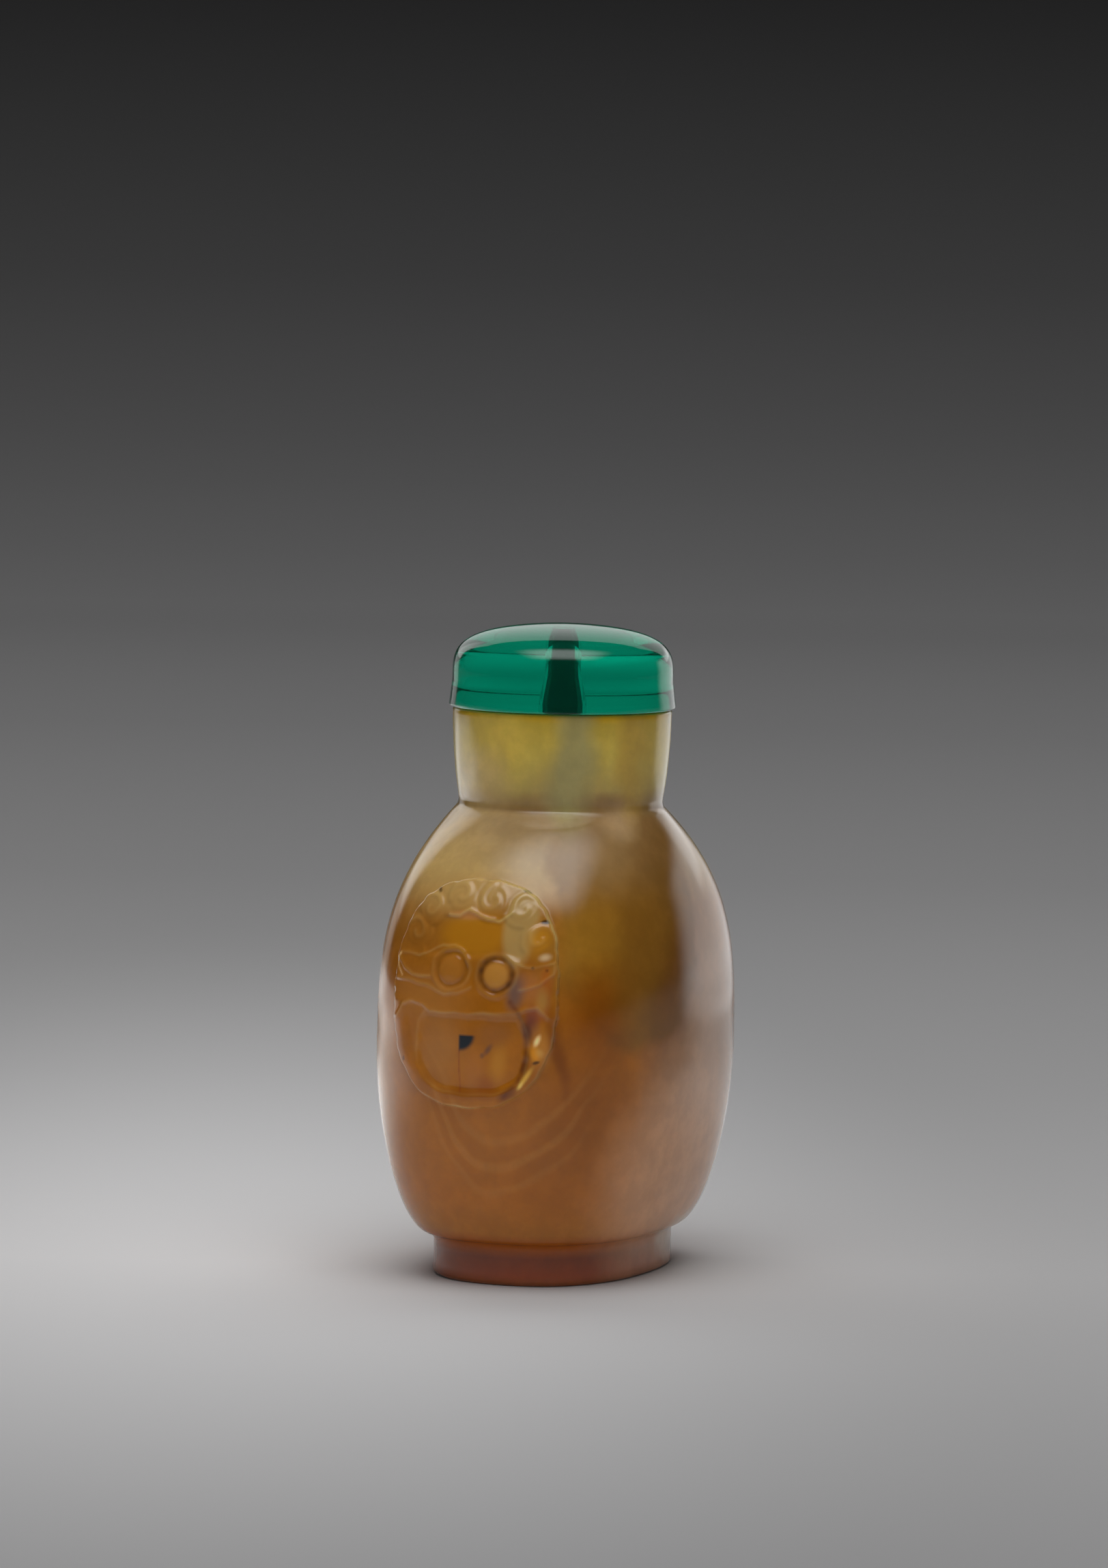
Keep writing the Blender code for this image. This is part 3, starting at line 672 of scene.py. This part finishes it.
# The stone's tone from the foot up, then over the neck: height in millimetres and colour. Across the foot's
# waist the tones paint shade, and at the neck's base a pale painted reflection lies under a painted shadow in
# the crease.
STONE_TONES_AND_PAINTED_LIGHT = (
    # Foot: painted shade across its waist, lighter at its top and bottom.
    (0.0, (96, 54, 26)),
    (1.0, (112, 46, 7)),
    (2.8, (95, 41, 8)),
    (3.7, (124, 63, 16)),
    (4.4, (124, 65, 16)),
    (5.4, (134, 82, 22)),
    (9.0, (142, 83, 18)),
    (20.0, (142, 84, 15)),
    (30.0, (136, 80, 13)),
    (37.0, (128, 84, 30)),
    (41.0, (155, 128, 79)),
    # A pale painted reflection on the step just under the neck, then painted shadow in the crease where the
    # neck meets the shoulder.
    (45.6, (147, 126, 92)),
    (46.0, (150, 127, 86)),
    (46.4, (82, 54, 14)),
    (47.0, (136, 112, 52)),
    (48.5, (178, 160, 76)),
    (55.0, (161, 137, 52)),
    (55.6, (176, 140, 30)),
    (58.0, (120, 88, 26)),
)
# Clouds in the stone, with painted pale rims along the edges among them: colour, then middle and half sizes
# (across, deep and high, in millimetres), tilt in degrees, softness and strength. Across and deep are turned
# by GRAIN degrees from the bottle's own axes.
GRAIN = 67.0
CLOUDS_AND_PAINTED_RIMS = (
    # Partly the stone's own mauve, partly a painted reflection: the pale veil towards the right edge, this
    # line and the next.
    ((131, 96, 66), (17, -6, 20), (9, 14, 19), 0, 0.4, 0.95),
    ((166, 124, 92), (15, -10, 10), (10, 14, 11), 0, 0.5, 0.9),
    ((107, 72, 21), (6.2, -12, 35.0), (8.1, 12, 13.2), 0, 0.07, 0.92),
    ((82, 43, 6), (12.3, -12, 31.5), (2.0, 9, 9.5), -12, 0.7, 0.55),
    ((122, 97, 63), (3.0, -10, 45.0), (13, 16, 5.0), 0, 0.6, 0.75),
    ((96, 65, 25), (11.0, -8, 41.5), (4.2, 9, 4.5), 0, 0.6, 0.7),
    ((154, 128, 94), (5.8, -9, 45.3), (1.8, 4, 1.6), 0, 0.6, 0.6),
    ((138, 97, 27), (1.8, -14, 33.0), (3.6, 9, 5.5), 0, 0.6, 0.8),
    ((110, 54, 0), (3.4, -14, 27.6), (3.6, 9, 4.6), 0, 0.7, 0.9),
    ((102, 52, 7), (1.6, -14, 18.0), (5.0, 9, 8.0), -15, 0.7, 0.75),
    ((76, 22, 2), (-0.3, -17, 24.5), (0.6, 6, 4.6), 14, 0.8, 0.6),
    ((160, 131, 78), (-12, -4, 41), (6, 9, 5), 0, 0.7, 0.6),
    # Painted reflection: a pale rim along the body's left edge.
    ((174, 138, 78), (-17.5, -2, 24), (2.4, 9, 18), 0, 0.6, 0.5),
    ((176, 150, 62), (-5.6, -8, 54), (2.4, 6, 4.0), 0, 0.7, 0.85),
    ((134, 125, 80), (1.2, -8, 52), (2.0, 8, 8.0), 0, 0.55, 0.9),
    ((150, 120, 46), (7.0, -6, 52), (1.7, 8, 6.0), 0, 0.6, 0.8),
    # Painted reflection: a pale band along the neck's left edge.
    ((170, 144, 98), (-8.5, -6, 49), (3.2, 7, 2.8), 0, 0.7, 0.6),
    # Painted reflection: the pale right end of the foot.
    ((179, 170, 154), (13.5, -2, 3.2), (2.4, 8, 2.2), 0, 0.6, 0.75),
    ((120, 84, 40), (4, 14, 30), (12, 7, 14), 20, 0.5, 0.8),
    ((104, 66, 34), (-8, 14, 18), (9, 8, 9), 0, 0.6, 0.7),
    ((150, 122, 84), (-5, 13, 40), (9, 8, 6), -15, 0.6, 0.7),
)
# How the clouds' edges waver: noise scale, detail and reach in metres.
CLOUD_WAVER = (130.0, 3.0, 0.0045)
# Bands in the stone: curves that rise on both sides of their lowest point, in millimetres.
BAND_MIDDLE = -6.0
BAND_RISE = (0.2, 0.075)
BAND_SPACING = 2.6
BAND_PALE = 12.6
BAND_FOOT = (8.5, 11.0)
BAND_HEAD = (17.0, 14.5)
BAND_RIGHT = (6.0, 0.0)
BAND_LEFT = (-14.5, -11.5)
BAND_STRENGTH = 0.2
BAND_WAVER = (90.0, 2.0, 0.004)
RIPPLE_RATE = 1.9
RIPPLE_SHARE = 0.3
PALE_BAND_COLOUR = (160, 110, 54)
DARK_BAND_COLOUR = (112, 62, 12)
# The finish: fine mottling, streaks along the grain, the painted highlight along the carving's edges, the
# painted shade in its hollows, and the polish.
FINE_RANGE = (0.94, 1.08)
STREAK_SCALE = (500.0, 120.0, 120.0)
STREAK_STRENGTH = 0.12
STREAK_COLOUR = (96, 58, 10)
# Painted shade in the carving's hollows: how strong it is, and its colour.
HOLLOW_SHADE_STRENGTH = 0.4
HOLLOW_SHADE_COLOUR = (118, 70, 14)
EDGE_HIGHLIGHT_STRENGTH = 0.7
EDGE_HIGHLIGHT_COLOUR = (212, 164, 108)
POLISH = (0.10, 0.18)
GLOW_DEPTH = 0.0012
STONE_GAIN = 2.0


def stone(colour):
    """The stone's own colour, from how it looks in soft light."""
    return (*(min(0.92, STONE_GAIN * value) for value in rgb(*colour)[:3]), 1.0)


def with_clouds(shader, colour, position, grain):
    """Lay the clouds and the painted pale rims over a colour, with wavering edges."""
    place = shader.vector("ADD", grain, shader.wander(position, *CLOUD_WAVER))
    for tint, centre, radii, tilt, soft, strength in CLOUDS_AND_PAINTED_RIMS:
        cover = shader.blob(place, millimetres(*centre), millimetres(*radii), radians(tilt), soft)
        colour = shader.mixed(shader.math("MULTIPLY", cover, strength), colour, stone(tint))
    return colour


def with_bands(shader, colour, position, grain):
    """Lay faint pale and dark bands over a colour, low on the side of the near mask."""
    bent = shader.vector("ADD", grain, shader.wander(position, *BAND_WAVER))
    bent = shader.vector("DIVIDE", bent, (MM, MM, MM))
    across = shader.math("SUBTRACT", shader.node("ShaderNodeSeparateXYZ", {0: bent}), BAND_MIDDLE)
    upward = shader.node("ShaderNodeSeparateXYZ", {0: bent}, output=2)
    steepness = shader.ramp(across, -1.0, 1.0, *BAND_RISE)
    rise = shader.math("MULTIPLY", shader.math("MULTIPLY", across, across), steepness)
    layer = shader.math("SUBTRACT", upward, rise)
    turns = shader.math("MULTIPLY", shader.math("SUBTRACT", layer, BAND_PALE), 2 * pi / BAND_SPACING)
    ripple = shader.math("COSINE", shader.math("MULTIPLY", turns, RIPPLE_RATE))
    waves = shader.math("ADD", shader.math("COSINE", turns), shader.math("MULTIPLY", ripple, RIPPLE_SHARE))
    weight = shader.math("MULTIPLY", shader.ramp(layer, *BAND_FOOT), shader.ramp(layer, *BAND_HEAD))
    sideways = shader.math("ADD", across, BAND_MIDDLE)
    left_limit = shader.ramp(sideways, *BAND_LEFT)
    right_limit = shader.ramp(sideways, *BAND_RIGHT, 0.0, BAND_STRENGTH)
    weight = shader.math("MULTIPLY", weight, shader.math("MULTIPLY", left_limit, right_limit))
    pale = shader.math("MULTIPLY", weight, shader.ramp(waves, -0.6, 1.3))
    dark = shader.math("MULTIPLY", weight, shader.ramp(waves, 0.6, -1.3))
    colour = shader.mixed(pale, colour, stone(PALE_BAND_COLOUR))
    return shader.mixed(dark, colour, stone(DARK_BAND_COLOUR))


def with_carving(shader, colour):
    """Lay the painted shade of the mask's hollows, its stains with the painted light among them, and the
    painted highlight along its edges over a colour, from the mesh's attributes.
    """
    # Painted shade in the carving's hollows.
    hollow = shader.math("MULTIPLY", shader.attribute("carved_hollow_shade"), HOLLOW_SHADE_STRENGTH)
    colour = shader.mixed(hollow, colour, stone(HOLLOW_SHADE_COLOUR))
    # The stains, with painted glints, highlights and shade among them.
    stain_and_painted_light = shader.node("ShaderNodeAttribute", output=1, attribute_name="stain_and_painted_light")
    lit = shader.vector("MULTIPLY", stain_and_painted_light, (STONE_GAIN, STONE_GAIN, STONE_GAIN))
    colour = shader.mixed(shader.attribute("stain_and_painted_light_cover"), colour, lit)
    # Painted highlight along the carved edges.
    line = shader.math("MULTIPLY", shader.attribute("carved_edge_highlight"), EDGE_HIGHLIGHT_STRENGTH)
    return shader.mixed(line, colour, stone(EDGE_HIGHLIGHT_COLOUR))


def agate():
    shader = Shader("agate")
    position = shader.node("ShaderNodeTexCoord", output=3)
    turn = {"Vector": position, "Angle": radians(GRAIN)}
    grain = shader.node("ShaderNodeVectorRotate", turn, rotation_type="Z_AXIS")
    level = shader.node("ShaderNodeSeparateXYZ", {0: grain}, output=2)
    colour = shader.tones(level, [(height * MM, stone(tone)) for height, tone in STONE_TONES_AND_PAINTED_LIGHT])
    colour = with_clouds(shader, colour, position, grain)
    colour = with_bands(shader, colour, position, grain)

    fine = shader.noise(position, 420.0, 4.0, 0.6)
    colour = shader.vector("MULTIPLY", colour, shader.ramp(fine, 0.35, 0.7, *FINE_RANGE))
    streaks = shader.noise(shader.vector("MULTIPLY", grain, STREAK_SCALE), 1.0, 3.0, 0.55)
    colour = shader.mixed(shader.ramp(streaks, 0.5, 0.8, 0.0, STREAK_STRENGTH), colour, stone(STREAK_COLOUR))
    colour = with_carving(shader, colour)
    shader.put(shader.main.inputs["Base Color"], colour)
    shader.put(shader.main.inputs["Roughness"], shader.ramp(fine, 0.3, 0.8, *POLISH))
    shader.main.inputs["Subsurface Weight"].default_value = 0.15
    shader.main.inputs["Subsurface Radius"].default_value = (1.0, 0.5, 0.2)
    shader.main.inputs["Subsurface Scale"].default_value = GLOW_DEPTH
    shader.main.inputs["IOR"].default_value = 1.54
    return shader.material


def green_glass():
    shader = Shader("green_glass")
    shader.main.inputs["Base Color"].default_value = (0.0, 0.80, 0.46, 1.0)
    shader.main.inputs["Transmission Weight"].default_value = 0.95
    shader.main.inputs["Roughness"].default_value = 0.03
    shader.main.inputs["IOR"].default_value = 1.5
    return shader.material


def cork():
    shader = Shader("cork")
    position = shader.node("ShaderNodeTexCoord", output=3)
    grain = shader.noise(position, 900.0, 5.0, 0.6)
    colour = shader.mixed(shader.ramp(grain, 0.35, 0.7), rgb(38, 26, 16), rgb(78, 52, 30))
    shader.put(shader.main.inputs["Base Color"], colour)
    shader.main.inputs["Roughness"].default_value = 0.8
    return shader.material


def view_axes():
    azimuth, elevation = radians(CAMERA_AZIMUTH), radians(CAMERA_ELEVATION)
    back = Vector((sin(azimuth) * cos(elevation), -cos(azimuth) * cos(elevation), sin(elevation)))
    right = Vector((cos(azimuth), sin(azimuth), 0.0))
    return back, right, back.cross(right)


def make_camera():
    back, right, up = view_axes()
    target = Vector((0.0, 0.0, FOCUS_HEIGHT))
    eye = target + CAMERA_DISTANCE * back
    aim = target + AIM_RIGHT * right + AIM_UP * up
    camera = bpy.data.objects.new("camera", bpy.data.cameras.new("camera"))
    camera.data.sensor_width = SENSOR
    camera.data.lens = SENSOR * FOCAL_PIXELS / IMAGE_HEIGHT
    camera.data.clip_start = 0.01
    camera.data.clip_end = 20.0
    turn = (eye - aim).to_track_quat("Z", "Y").to_matrix() @ Matrix.Rotation(radians(CAMERA_ROLL), 3, "Z")
    camera.matrix_world = Matrix.Translation(eye) @ turn.to_4x4()
    bpy.context.scene.collection.objects.link(camera)
    bpy.context.scene.camera = camera


# The stage, seen from above: where the floor starts, where it curves up, and the backdrop's size.
FLOOR_FRONT = -1.6
CURVE_START = 1.0
CURVE_RADIUS = 0.5
BACKDROP_TOP = 2.2
STAGE_HALF_WIDTH = 1.8
# The paper's reflectance with painted light falloff, by distance behind the bottle plus UPWARD_SHARE times
# the height: painted shade darkens it towards the front and up the backdrop.
UPWARD_SHARE = 3.0
PAPER_PAINTED_FALLOFF = (
    (-0.45, 0.06),
    (-0.17, 0.42),
    (0.0, 0.62),
    (0.15, 0.52),
    (0.4, 0.42),
    (0.7, 0.40),
    (1.05, 0.44),
    (1.3, 0.28),
    (1.5, 0.18),
    (1.85, 0.07),
)
# A painted pool of light on the paper: how far right of the bottle and behind it, and its half sizes.
PAINTED_LIGHT_POOL = (-0.035, 0.03)
PAINTED_LIGHT_POOL_HALF = (0.09, 0.30)
# How far the paper is dimmed outside the painted pool of light and lifted in its middle.
PAINTED_LIGHT_POOL_GAIN = (0.78, 1.22)
PAPER_GREEN = 0.992


def floor_axes():
    """Level directions to the camera's right and away from it."""
    back, right, _ = view_axes()
    return right, Vector((-back.x, -back.y, 0.0)).normalized()


def make_stage():
    """A plain floor that curves up into a backdrop a metre behind the bottle."""
    right, away = floor_axes()
    profile = [(FLOOR_FRONT, 0.0), (CURVE_START, 0.0)]
    for angle in np.linspace(0.1, pi / 2, 14):
        profile.append((CURVE_START + CURVE_RADIUS * sin(angle), CURVE_RADIUS * (1 - cos(angle))))
    profile.append((CURVE_START + CURVE_RADIUS, BACKDROP_TOP))
    points, faces = [], []
    for index, (along, up) in enumerate(profile):
        for side in (-STAGE_HALF_WIDTH, STAGE_HALF_WIDTH):
            points.append(away * along + right * side + Vector((0, 0, up)))
        if index:
            low = 2 * index - 2
            faces.append((low, low + 1, low + 3, low + 2))
    mesh = bpy.data.meshes.new("floor")
    mesh.from_pydata(points, [], faces)
    mesh.shade_smooth()
    floor = bpy.data.objects.new("floor", mesh)
    bpy.context.scene.collection.objects.link(floor)
    mesh.materials.append(paper(right, away))


def paper(right, away):
    """Paper with painted light: a painted pool of light round the bottle, and painted shade that darkens it
    towards the front and up the backdrop.
    """
    shader = Shader("floor")
    place = shader.node("ShaderNodeTexCoord", output=3)
    high = shader.node("ShaderNodeSeparateXYZ", {0: place}, output=2)
    far = shader.math("ADD", shader.along(place, away), shader.math("MULTIPLY", high, UPWARD_SHARE))
    stops = [(distance, (tone, tone * PAPER_GREEN, tone, 1)) for distance, tone in PAPER_PAINTED_FALLOFF]
    column = shader.tones(far, stops)
    places = (shader.along(place, right), far)
    squares = []
    for value, middle, half in zip(places, PAINTED_LIGHT_POOL, PAINTED_LIGHT_POOL_HALF):
        offset = shader.math("DIVIDE", shader.math("SUBTRACT", value, middle), half)
        squares.append(shader.math("POWER", shader.math("ABSOLUTE", offset), 2.0))
    spread = shader.math("SQRT", shader.math("ADD", *squares))
    # Painted pool of light round the bottle.
    light_pool = shader.ramp(spread, 1.0, 0.0, *PAINTED_LIGHT_POOL_GAIN)
    shader.put(shader.main.inputs["Base Color"], shader.vector("MULTIPLY", column, light_pool))
    shader.main.inputs["Roughness"].default_value = 0.75
    shader.main.inputs["Specular IOR Level"].default_value = 0.0
    return shader.material


# Glowing cards that the camera doesn't see. Each has its place (right of the bottle, behind it and up),
# its width and height, the height on the bottle's axis that it faces, its radiance, how soft its edges
# are, and what sees it: rough surfaces (stone), reflections (shine) or rays through the stopper (glass).
# Cards that face a point far above the bottle lie almost flat, just over the floor.
OVERHEAD = 40.0
CARDS = {
    "top_card": ((0.0, -0.25, 0.80), (1.10, 0.90), FOCUS_HEIGHT, 3.0, 0.7, ("stone", "shine")),
    "rear_card": ((0.0, 0.90, 0.62), (1.60, 0.94), 0.62, 0.68, 0.1, ("shine",)),
    "wall_card": ((0.0, 0.55, 1.20), (1.80, 0.80), FOCUS_HEIGHT, 2.2, 0.5, ("stone",)),
    "glow_card": ((0.0, 0.55, 0.75), (2.20, 1.50), 0.75, 0.19, 0.1, ("glass",)),
    "left_card": ((-0.130, 0.20, 0.12), (0.09, 0.26), 0.12, 0.5, 0.5, ("shine",)),
    "right_card": ((0.160, 0.19, 0.06), (0.26, 0.16), 0.06, 1.0, 0.5, ("shine",)),
    "left_sheet": ((-0.135, 0.090, 0.002), (0.22, 0.28), OVERHEAD, 0.95, 0.6, ("shine",)),
    "far_left_sheet": ((-0.300, 0.270, 0.002), (0.46, 0.52), OVERHEAD, 0.9, 0.6, ("shine",)),
    "right_sheet": ((0.100, 0.130, 0.002), (0.16, 0.30), OVERHEAD, 0.4, 0.6, ("shine",)),
    "front_fill": ((0.05, -1.00, 0.16), (1.50, 0.80), FOCUS_HEIGHT, 1.0, 0.5, ("stone",)),
}
WORLD_COLOUR = (0.5, 0.5, 0.52, 1)
WORLD_STRENGTH = 0.03


def softbox(name, place, size, facing, radiance, soft, seen):
    """A glowing card that only adds light, so what is behind it still shows through its soft edges."""
    right, away = floor_axes()
    spot = right * place[0] + away * place[1] + Vector((0, 0, place[2]))
    points = [(x * size[0] / 2, y * size[1] / 2, 0.0) for x, y in ((-1, -1), (1, -1), (1, 1), (-1, 1))]
    mesh = bpy.data.meshes.new(name)
    mesh.from_pydata(points, [], [(0, 1, 2, 3)])
    card = bpy.data.objects.new(name, mesh)
    card.location = spot
    card.rotation_mode = "QUATERNION"
    card.rotation_quaternion = (spot - Vector((0, 0, facing))).to_track_quat("Z", "Y")
    card.visible_camera = False
    card.visible_shadow = False
    card.visible_diffuse = "stone" in seen
    card.visible_glossy = "shine" in seen
    card.visible_transmission = "glass" in seen
    bpy.context.scene.collection.objects.link(card)
    shader = Shader(name)
    place = shader.node("ShaderNodeTexCoord", output=3)
    edges = shader.vector("DIVIDE", place, (size[0] / 2, size[1] / 2, 1.0))
    edges = shader.vector("ABSOLUTE", edges, (0, 0, 0))
    x_share = shader.node("ShaderNodeSeparateXYZ", {0: edges}, output=0)
    y_share = shader.node("ShaderNodeSeparateXYZ", {0: edges}, output=1)
    glow = shader.math("MULTIPLY", shader.ramp(x_share, 1.0, 1 - soft), shader.ramp(y_share, 1.0, 1 - soft))
    light = shader.node("ShaderNodeEmission", {"Strength": shader.math("MULTIPLY", glow, radiance)})
    clear = shader.node("ShaderNodeBsdfTransparent")
    surface = shader.node("ShaderNodeAddShader", {0: light, 1: clear})
    shader.put(shader.tree.nodes["Material Output"].inputs["Surface"], surface)
    mesh.materials.append(shader.material)


def make_lights():
    for name, settings in CARDS.items():
        softbox(name, *settings)
    world = bpy.data.worlds.new("studio")
    world.use_nodes = True
    world.node_tree.nodes["Background"].inputs["Color"].default_value = WORLD_COLOUR
    world.node_tree.nodes["Background"].inputs["Strength"].default_value = WORLD_STRENGTH
    bpy.context.scene.world = world


def main():
    scene = bpy.context.scene
    make_bottle().data.materials.append(agate())
    make_stopper().data.materials.append(green_glass())
    make_plug().data.materials.append(cork())
    make_stage()
    make_camera()
    make_lights()
    scene.view_settings.view_transform = "Standard"
    scene.cycles.use_denoising = True
    scene.cycles.max_bounces = 12
    scene.cycles.transmission_bounces = 10


main()
